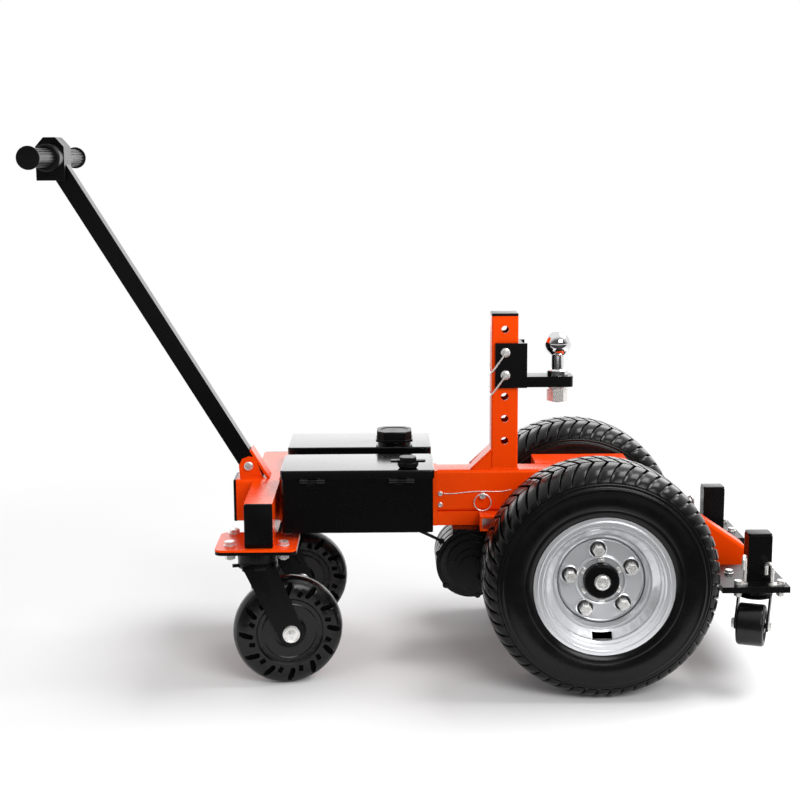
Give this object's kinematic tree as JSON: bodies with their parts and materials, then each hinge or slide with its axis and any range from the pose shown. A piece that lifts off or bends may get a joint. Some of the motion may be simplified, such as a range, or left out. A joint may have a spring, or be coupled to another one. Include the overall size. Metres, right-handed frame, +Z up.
{
  "type": "electric trailer dolly",
  "caption": "Powered walk-behind trailer mover with a folding handle, drive wheels, swivel casters, a height-adjustable tow ball mast and lidded battery boxes.",
  "frame": {"origin": "centre of the bounding box on the ground plane", "axes": "+X forward, away from the handle; +Y to the far side (the left of someone at the handle); +Z up"},
  "size_m": [1.347, 0.569, 0.9871],
  "materials": {
    "orange_paint": "gloss powder coat",
    "black_paint": "satin powder coat",
    "lid_paint": "gloss",
    "silver_paint": "satin silver",
    "black_plastic": "moulded",
    "tyre": "tread rubber",
    "caster_rubber": "moulded",
    "grip_rubber": "ribbed",
    "chrome": "polished",
    "zinc": "zinc plated",
    "steel": "machined",
    "motor_black": "painted",
    "case_alloy": "painted casting",
    "laminations": "lacquered",
    "cable_rubber": "matt"
  },
  "bodies": {
    "chassis": {"main_beam": "orange_paint", "rear_frame": "orange_paint", "drive_cradle": "orange_paint", "tube_end_caps": "black_plastic", "front_cross_plate": "black_paint", "chain_hooks": "zinc", "caster_mount_plates": "orange_paint", "caster_races": "black_paint", "frame_bolts": "zinc", "mast": "orange_paint", "ball_mount": "black_paint", "hitch_ball": "chrome", "ball_nut_and_washers": "chrome", "hitch_pins": "chrome", "near_battery_box": "black_paint", "far_controller_box": "black_paint", "lid_hinges": "black_paint", "battery_pack": "black_plastic", "motor_controller": "case_alloy", "motor_housing": "motor_black", "motor_stator": "laminations", "gear_case": "case_alloy", "shaft_bearings": "steel", "axle_tubes": "black_paint", "handle_clevis": "orange_paint", "lanyard_wire": "zinc", "motor_cable": "cable_rubber"},
    "handle": {"handle_tube": "black_paint", "control_head": "black_plastic", "handlebar": "black_paint", "fixed_grip": "grip_rubber"},
    "throttle": {"throttle_grip": "grip_rubber"},
    "rocker": {"direction_rocker": "black_plastic"},
    "near_lid": {"near_lid": "lid_paint"},
    "power_knob": {"power_knob": "black_plastic"},
    "far_lid": {"far_lid": "lid_paint"},
    "charge_cap": {"charge_cap": "black_plastic"},
    "near_wheel": {"near_tyre": "tyre", "near_rim": "silver_paint", "near_hub": "black_paint", "near_lug_nuts": "chrome", "axle_gear": "steel"},
    "far_wheel": {"far_tyre": "tyre", "far_rim": "silver_paint", "far_hub": "black_paint", "far_lug_nuts": "chrome"},
    "motor_rotor": {"motor_rotor": "steel"},
    "reduction_gear": {"reduction_gear": "steel"},
    "idler_gear": {"idler_gear": "steel"},
    "near_rear_fork": {"near_rear_fork": "black_paint"},
    "near_rear_wheel": {"near_rear_wheel": "caster_rubber"},
    "far_rear_fork": {"far_rear_fork": "black_paint"},
    "far_rear_wheel": {"far_rear_wheel": "caster_rubber"},
    "near_front_fork": {"near_front_fork": "black_paint"},
    "near_front_wheel": {"near_front_wheel": "caster_rubber"},
    "far_front_fork": {"far_front_fork": "black_paint"},
    "far_front_wheel": {"far_front_wheel": "caster_rubber"},
    "release_pin": {"release_pin": "zinc"},
    "upper_bail": {"upper_bail": "zinc"},
    "lower_bail": {"lower_bail": "zinc"}
  },
  "joints": [
    {"name": "handle_fold", "type": "hinge", "parent": "chassis", "child": "handle", "pos_m": [-0.29789, 0, 0.375], "axis": [0, 1, 0], "range_deg": [-57, 0]},
    {"name": "throttle_twist", "type": "hinge", "parent": "handle", "child": "throttle", "pos_m": [-0.64551, -0.09, 0.95011], "axis": [0, -1, 0], "range_deg": [0, 40], "stiffness_Nm_per_rad": 0.3},
    {"name": "direction_rocker_tilt", "type": "hinge", "parent": "handle", "child": "rocker", "pos_m": [-0.67001, 0, 0.93161], "axis": [0, 1, 0], "range_deg": [-8, 8]},
    {"name": "near_lid_hinge", "type": "hinge", "parent": "chassis", "child": "near_lid", "pos_m": [-0.09049, -0.183, 0.3798], "axis": [1, 0, 0], "range_deg": [0, 100]},
    {"name": "far_lid_hinge", "type": "hinge", "parent": "chassis", "child": "far_lid", "pos_m": [-0.09049, 0.183, 0.3798], "axis": [1, 0, 0], "range_deg": [-100, 0]},
    {"name": "power_knob_turn", "type": "hinge", "parent": "near_lid", "child": "power_knob", "pos_m": [0.00041, -0.157, 0.3985], "axis": [0, 0, 1], "range_deg": [0, 90]},
    {"name": "charge_cap_turn", "type": "hinge", "parent": "far_lid", "child": "charge_cap", "pos_m": [-0.02289, 0.0695, 0.3985], "axis": [0, 0, 1], "range_deg": [-90, 0]},
    {"name": "near_wheel_spin", "type": "hinge", "parent": "chassis", "child": "near_wheel", "pos_m": [0.33951, -0.202, 0.21], "axis": [0, 1, 0], "continuous": true},
    {"name": "far_wheel_spin", "type": "hinge", "parent": "chassis", "child": "far_wheel", "pos_m": [0.33951, 0.202, 0.21], "axis": [0, 1, 0], "continuous": true},
    {"name": "motor_spin", "type": "hinge", "parent": "chassis", "child": "motor_rotor", "pos_m": [0.11883, 0.046, 0.194], "axis": [0, 1, 0], "continuous": true},
    {"name": "reduction_spin", "type": "hinge", "parent": "chassis", "child": "reduction_gear", "pos_m": [0.19239, 0.046, 0.19933], "axis": [0, 1, 0], "continuous": true},
    {"name": "idler_spin", "type": "hinge", "parent": "chassis", "child": "idler_gear", "pos_m": [0.24849, 0.064, 0.2034], "axis": [0, 1, 0], "continuous": true},
    {"name": "near_rear_swivel", "type": "hinge", "parent": "chassis", "child": "near_rear_fork", "pos_m": [-0.27149, -0.166, 0.271], "axis": [0, 0, 1], "continuous": true},
    {"name": "near_rear_roll", "type": "hinge", "parent": "near_rear_fork", "child": "near_rear_wheel", "pos_m": [-0.21975, -0.15453, 0.1], "axis": [-0.2164, 0.9763, 0], "continuous": true},
    {"name": "near_front_swivel", "type": "hinge", "parent": "chassis", "child": "near_front_fork", "pos_m": [0.62501, -0.186, 0.1855], "axis": [0, 0, 1], "continuous": true},
    {"name": "near_front_roll", "type": "hinge", "parent": "near_front_fork", "child": "near_front_wheel", "pos_m": [0.61149, -0.22076, 0.122], "axis": [-0.932, 0.3624, 0], "continuous": true},
    {"name": "far_rear_swivel", "type": "hinge", "parent": "chassis", "child": "far_rear_fork", "pos_m": [-0.27149, 0.166, 0.271], "axis": [0, 0, 1], "continuous": true},
    {"name": "far_rear_roll", "type": "hinge", "parent": "far_rear_fork", "child": "far_rear_wheel", "pos_m": [-0.21975, 0.17747, 0.1], "axis": [-0.2164, 0.9763, 0], "continuous": true},
    {"name": "far_front_swivel", "type": "hinge", "parent": "chassis", "child": "far_front_fork", "pos_m": [0.62501, 0.186, 0.1855], "axis": [0, 0, 1], "continuous": true},
    {"name": "far_front_roll", "type": "hinge", "parent": "far_front_fork", "child": "far_front_wheel", "pos_m": [0.61149, 0.22076, 0.122], "axis": [-0.932, -0.3624, 0], "continuous": true},
    {"name": "release_pin_pull", "type": "slide", "parent": "chassis", "child": "release_pin", "axis": [0, -1, 0], "range_m": [0, 0.022], "stiffness_N_per_m": 150},
    {"name": "upper_bail_swing", "type": "hinge", "parent": "chassis", "child": "upper_bail", "pos_m": [0.18421, 0, 0.5889], "axis": [0, 1, 0], "range_deg": [0, 100]},
    {"name": "lower_bail_swing", "type": "hinge", "parent": "chassis", "child": "lower_bail", "pos_m": [0.18421, 0, 0.5468], "axis": [0, 1, 0], "range_deg": [0, 50]}
  ],
  "couplings": [
    {"joint": "far_wheel_spin", "follows": "near_wheel_spin", "ratio": 1},
    {"joint": "motor_spin", "follows": "near_wheel_spin", "ratio": -6.5398},
    {"joint": "reduction_spin", "follows": "near_wheel_spin", "ratio": 2.6471},
    {"joint": "idler_spin", "follows": "near_wheel_spin", "ratio": -1.6071}
  ]
}
